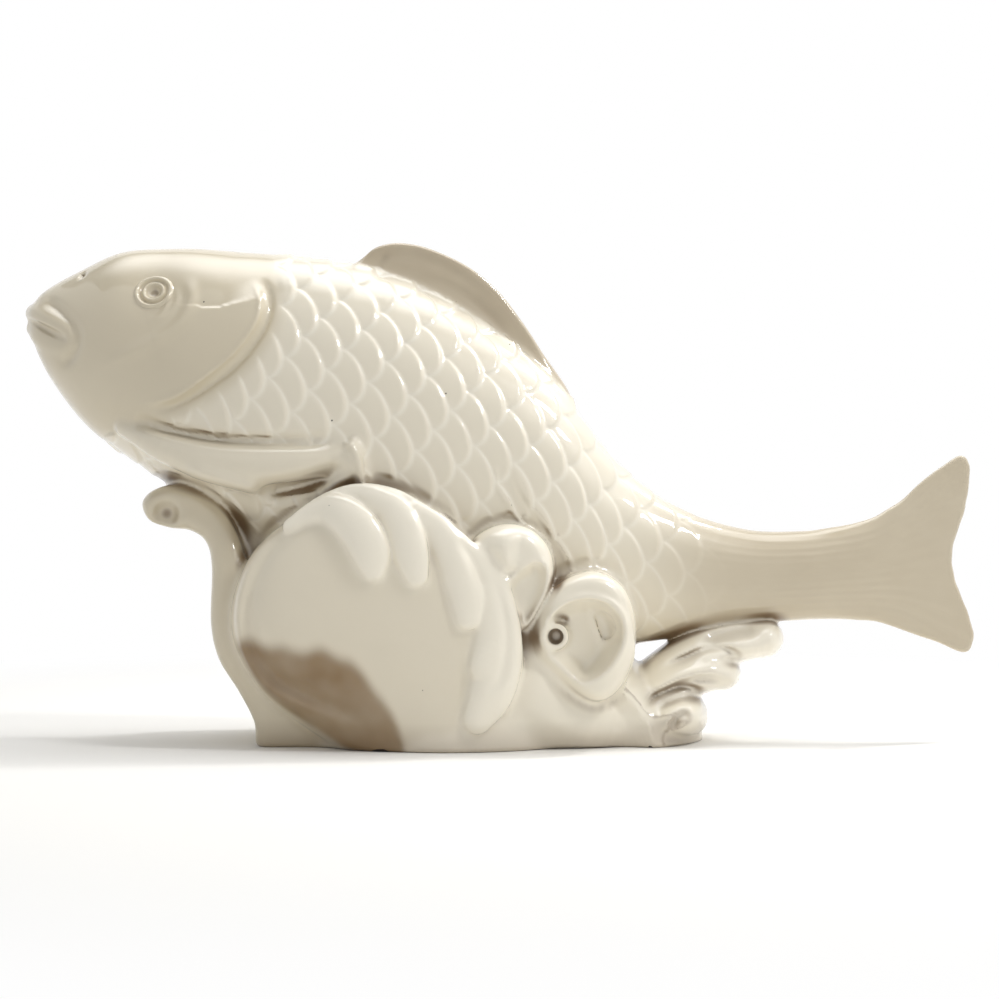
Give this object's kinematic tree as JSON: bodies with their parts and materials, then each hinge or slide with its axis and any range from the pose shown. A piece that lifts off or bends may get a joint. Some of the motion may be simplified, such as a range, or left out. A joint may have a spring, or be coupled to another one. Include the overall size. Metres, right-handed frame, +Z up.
{
  "type": "fish figurine",
  "caption": "Glazed ceramic figurine of a carp leaping over breaking waves, hollow cast, with a raised tail and a flat vented foot.",
  "frame": {"origin": "on the table, under the middle of the overall box", "axes": "+X along the fish from lips to tail, +Y across it towards its right flank, +Z up"},
  "size_m": [0.4005, 0.113, 0.2095],
  "materials": {
    "cream_glaze": "glossy ivory glaze, warmer where it pools"
  },
  "bodies": {
    "root": {"fish_body": "cream_glaze", "tail_fin": "cream_glaze", "dorsal_fin": "cream_glaze", "wave_base": "cream_glaze", "front_curl": "cream_glaze", "spray_upper": "cream_glaze", "spray_middle": "cream_glaze", "spray_lower": "cream_glaze", "left_eye": "cream_glaze", "left_pectoral_fin": "cream_glaze", "left_great_wave": "cream_glaze", "left_foam_crest": "cream_glaze", "left_large_scroll": "cream_glaze", "left_small_scroll": "cream_glaze", "right_eye": "cream_glaze", "right_pectoral_fin": "cream_glaze", "right_great_wave": "cream_glaze", "right_foam_crest": "cream_glaze", "right_large_scroll": "cream_glaze", "right_small_scroll": "cream_glaze"}
  },
  "joints": []
}
